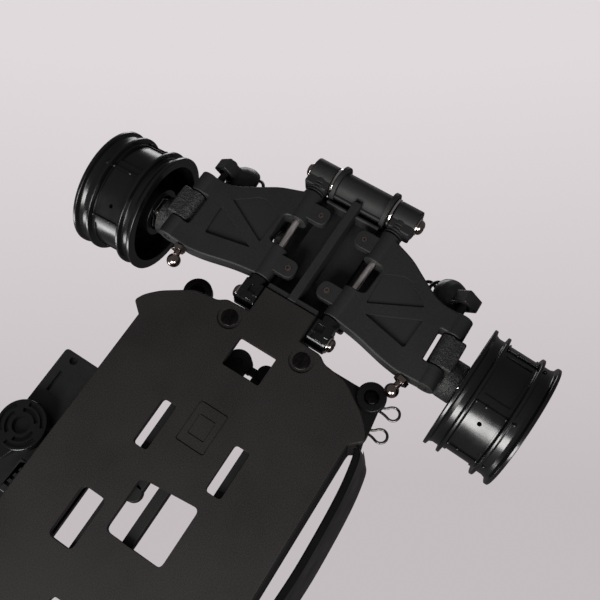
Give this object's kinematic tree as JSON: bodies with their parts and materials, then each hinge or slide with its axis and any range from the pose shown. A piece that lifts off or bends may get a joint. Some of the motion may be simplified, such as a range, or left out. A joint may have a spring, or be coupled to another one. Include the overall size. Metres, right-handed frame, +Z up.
{
  "type": "car chassis",
  "caption": "Small radio-control car chassis: flat moulded tub with sprung wishbones, coil-over dampers, steering servo and bare rims.",
  "frame": {"origin": "on the ground under the middle of the wheelbase, on the centre plane", "axes": "+X front of the car, +Y its left side, +Z up, standing on its rims"},
  "size_m": [0.3194, 0.1708, 0.0559],
  "materials": {
    "nylon": "fine moulded grain, matte",
    "gloss": "gloss black moulded",
    "steel": "polished steel",
    "spring": "black coated spring wire",
    "case": "satin black"
  },
  "bodies": {
    "chassis": {"tub": "nylon", "upper_deck": "nylon", "side_shelf": "nylon", "side_guard": "gloss", "body_clip_aft": "steel", "body_clip_fore": "steel", "steering_servo": "case", "rear_lower_bulkhead": "nylon", "rear_upper_bulkhead": "nylon", "rear_shock_tower": "nylon", "rear_left_pin_holder_aft": "nylon", "rear_left_pin_holder_fore": "gloss", "rear_left_inner_pin": "steel", "rear_right_pin_holder_aft": "nylon", "rear_right_pin_holder_fore": "gloss", "rear_right_inner_pin": "steel", "front_lower_bulkhead": "nylon", "front_upper_bulkhead": "nylon", "front_shock_tower": "nylon", "front_right_inner_pin": "steel", "front_left_inner_pin": "steel"},
    "differential": {"differential": "case"},
    "servo_horn": {"servo_horn": "gloss"},
    "rear_left_arm": {"rear_left_wishbone": "nylon", "rear_left_outer_pin": "steel", "rear_left_ball_stud": "steel"},
    "rear_left_hub": {"rear_left_upright": "nylon"},
    "rear_left_wheel": {"rear_left_axle": "steel", "rear_left_rim": "gloss"},
    "rear_left_damper": {"rear_left_shock_body": "case", "rear_left_spring": "spring"},
    "rear_left_damper_rod": {"rear_left_shock_rod": "nylon"},
    "rear_right_arm": {"rear_right_wishbone": "nylon", "rear_right_outer_pin": "steel", "rear_right_ball_stud": "steel"},
    "rear_right_hub": {"rear_right_upright": "nylon"},
    "rear_right_wheel": {"rear_right_axle": "steel", "rear_right_rim": "gloss"},
    "rear_right_damper": {"rear_right_shock_body": "case", "rear_right_spring": "spring"},
    "rear_right_damper_rod": {"rear_right_shock_rod": "nylon"},
    "front_right_arm": {"front_right_wishbone": "nylon", "front_right_outer_pin": "steel"},
    "front_right_hub": {"front_right_hub_carrier": "nylon"},
    "front_right_steer": {"front_right_knuckle": "nylon"},
    "front_right_wheel": {"front_right_axle": "steel", "front_right_rim": "gloss"},
    "front_right_damper": {"front_right_shock_body": "case", "front_right_spring": "spring"},
    "front_right_damper_rod": {"front_right_shock_rod": "nylon"},
    "front_left_arm": {"front_left_wishbone": "nylon", "front_left_outer_pin": "steel"},
    "front_left_hub": {"front_left_hub_carrier": "nylon"},
    "front_left_steer": {"front_left_knuckle": "nylon"},
    "front_left_wheel": {"front_left_axle": "steel", "front_left_rim": "gloss"},
    "front_left_damper": {"front_left_shock_body": "case", "front_left_spring": "spring"},
    "front_left_damper_rod": {"front_left_shock_rod": "nylon"}
  },
  "joints": [
    {"name": "rear_left_suspension", "type": "hinge", "parent": "chassis", "child": "rear_left_arm", "pos_m": [-0.1255, 0.015, 0.0132], "axis": [0.999, -0.0436, 0], "range_deg": [-8, 9], "stiffness_Nm_per_rad": 0.55, "springref_deg": -5.73},
    {"name": "rear_left_hub_pivot", "type": "hinge", "parent": "rear_left_arm", "child": "rear_left_hub", "pos_m": [-0.1125, 0.0506, 0.0132], "axis": [1, 0, 0], "range_deg": [-10, 9]},
    {"name": "rear_left_wheel_spin", "type": "hinge", "parent": "rear_left_hub", "child": "rear_left_wheel", "pos_m": [-0.1125, 0.0603, 0.022], "axis": [0.0523, 0.9986, 0], "continuous": true},
    {"name": "rear_left_damper_tilt", "type": "hinge", "parent": "chassis", "child": "rear_left_damper", "pos_m": [-0.1375, 0.017, 0.051], "axis": [1, 0, 0], "range_deg": [-4, 4.4]},
    {"name": "rear_left_damper_travel", "type": "slide", "parent": "rear_left_damper", "child": "rear_left_damper_rod", "axis": [0, -0.6669, 0.7452], "range_m": [-0.00417, 0.00463], "deforming": ["rear_left_spring"]},
    {"name": "rear_right_suspension", "type": "hinge", "parent": "chassis", "child": "rear_right_arm", "pos_m": [-0.1255, -0.015, 0.0132], "axis": [-0.999, -0.0436, 0], "range_deg": [-8, 9], "stiffness_Nm_per_rad": 0.55, "springref_deg": -5.73},
    {"name": "rear_right_hub_pivot", "type": "hinge", "parent": "rear_right_arm", "child": "rear_right_hub", "pos_m": [-0.1125, -0.0506, 0.0132], "axis": [-1, 0, 0], "range_deg": [-10, 9]},
    {"name": "rear_right_wheel_spin", "type": "hinge", "parent": "rear_right_hub", "child": "rear_right_wheel", "pos_m": [-0.1125, -0.0603, 0.022], "axis": [0.0523, -0.9986, 0], "continuous": true},
    {"name": "rear_right_damper_tilt", "type": "hinge", "parent": "chassis", "child": "rear_right_damper", "pos_m": [-0.1375, -0.017, 0.051], "axis": [-1, 0, 0], "range_deg": [-4, 4.4]},
    {"name": "rear_right_damper_travel", "type": "slide", "parent": "rear_right_damper", "child": "rear_right_damper_rod", "axis": [0, 0.6669, 0.7452], "range_m": [-0.00417, 0.00463], "deforming": ["rear_right_spring"]},
    {"name": "front_right_suspension", "type": "hinge", "parent": "chassis", "child": "front_right_arm", "pos_m": [0.1255, -0.015, 0.0132], "axis": [-0.999, 0.0436, 0], "range_deg": [-8, 9], "stiffness_Nm_per_rad": 0.55, "springref_deg": -5.73},
    {"name": "front_right_hub_pivot", "type": "hinge", "parent": "front_right_arm", "child": "front_right_hub", "pos_m": [0.1125, -0.0474, 0.0132], "axis": [-1, 0, 0], "range_deg": [-10, 9]},
    {"name": "front_right_steering", "type": "hinge", "parent": "front_right_hub", "child": "front_right_steer", "pos_m": [0.1125, -0.057, 0.022], "axis": [0, 0, 1], "range_deg": [-18, 18]},
    {"name": "front_right_wheel_spin", "type": "hinge", "parent": "front_right_steer", "child": "front_right_wheel", "pos_m": [0.1125, -0.0603, 0.022], "axis": [0, -1, 0], "continuous": true},
    {"name": "front_right_damper_tilt", "type": "hinge", "parent": "chassis", "child": "front_right_damper", "pos_m": [0.1375, -0.017, 0.051], "axis": [-1, 0, 0], "range_deg": [-4, 4.4]},
    {"name": "front_right_damper_travel", "type": "slide", "parent": "front_right_damper", "child": "front_right_damper_rod", "axis": [0, 0.6669, 0.7452], "range_m": [-0.00417, 0.00463], "deforming": ["front_right_spring"]},
    {"name": "front_left_suspension", "type": "hinge", "parent": "chassis", "child": "front_left_arm", "pos_m": [0.1255, 0.015, 0.0132], "axis": [0.999, 0.0436, 0], "range_deg": [-8, 9], "stiffness_Nm_per_rad": 0.55, "springref_deg": -5.73},
    {"name": "front_left_hub_pivot", "type": "hinge", "parent": "front_left_arm", "child": "front_left_hub", "pos_m": [0.1125, 0.0474, 0.0132], "axis": [1, 0, 0], "range_deg": [-10, 9]},
    {"name": "front_left_steering", "type": "hinge", "parent": "front_left_hub", "child": "front_left_steer", "pos_m": [0.1125, 0.057, 0.022], "axis": [0, 0, 1], "range_deg": [-18, 18]},
    {"name": "front_left_wheel_spin", "type": "hinge", "parent": "front_left_steer", "child": "front_left_wheel", "pos_m": [0.1125, 0.0603, 0.022], "axis": [0, 1, 0], "continuous": true},
    {"name": "front_left_damper_tilt", "type": "hinge", "parent": "chassis", "child": "front_left_damper", "pos_m": [0.1375, 0.017, 0.051], "axis": [1, 0, 0], "range_deg": [-4, 4.4]},
    {"name": "front_left_damper_travel", "type": "slide", "parent": "front_left_damper", "child": "front_left_damper_rod", "axis": [0, -0.6669, 0.7452], "range_m": [-0.00417, 0.00463], "deforming": ["front_left_spring"]},
    {"name": "servo_horn_turn", "type": "hinge", "parent": "chassis", "child": "servo_horn", "pos_m": [-0.025, 0.051, 0.0175], "axis": [0, 0, 1], "range_deg": [-30, 30]},
    {"name": "differential_spin", "type": "hinge", "parent": "chassis", "child": "differential", "pos_m": [0.1165, 0, 0.029], "axis": [0, 1, 0], "continuous": true}
  ],
  "couplings": [
    {"joint": "rear_left_hub_pivot", "follows": "rear_left_suspension", "ratio": -1},
    {"joint": "rear_left_damper_tilt", "follows": "rear_left_suspension", "ratio": 0.4245},
    {"joint": "rear_left_damper_travel", "follows": "rear_left_suspension", "m_per_rad": 0.02631},
    {"joint": "rear_right_hub_pivot", "follows": "rear_right_suspension", "ratio": -1},
    {"joint": "rear_right_damper_tilt", "follows": "rear_right_suspension", "ratio": 0.4245},
    {"joint": "rear_right_damper_travel", "follows": "rear_right_suspension", "m_per_rad": 0.02631},
    {"joint": "front_right_hub_pivot", "follows": "front_right_suspension", "ratio": -1},
    {"joint": "front_right_damper_tilt", "follows": "front_right_suspension", "ratio": 0.4245},
    {"joint": "front_right_damper_travel", "follows": "front_right_suspension", "m_per_rad": 0.02631},
    {"joint": "front_left_hub_pivot", "follows": "front_left_suspension", "ratio": -1},
    {"joint": "front_left_damper_tilt", "follows": "front_left_suspension", "ratio": 0.4245},
    {"joint": "front_left_damper_travel", "follows": "front_left_suspension", "m_per_rad": 0.02631},
    {"joint": "front_right_steering", "follows": "front_left_steering", "ratio": 1},
    {"joint": "servo_horn_turn", "follows": "front_left_steering", "ratio": 1.5}
  ]
}
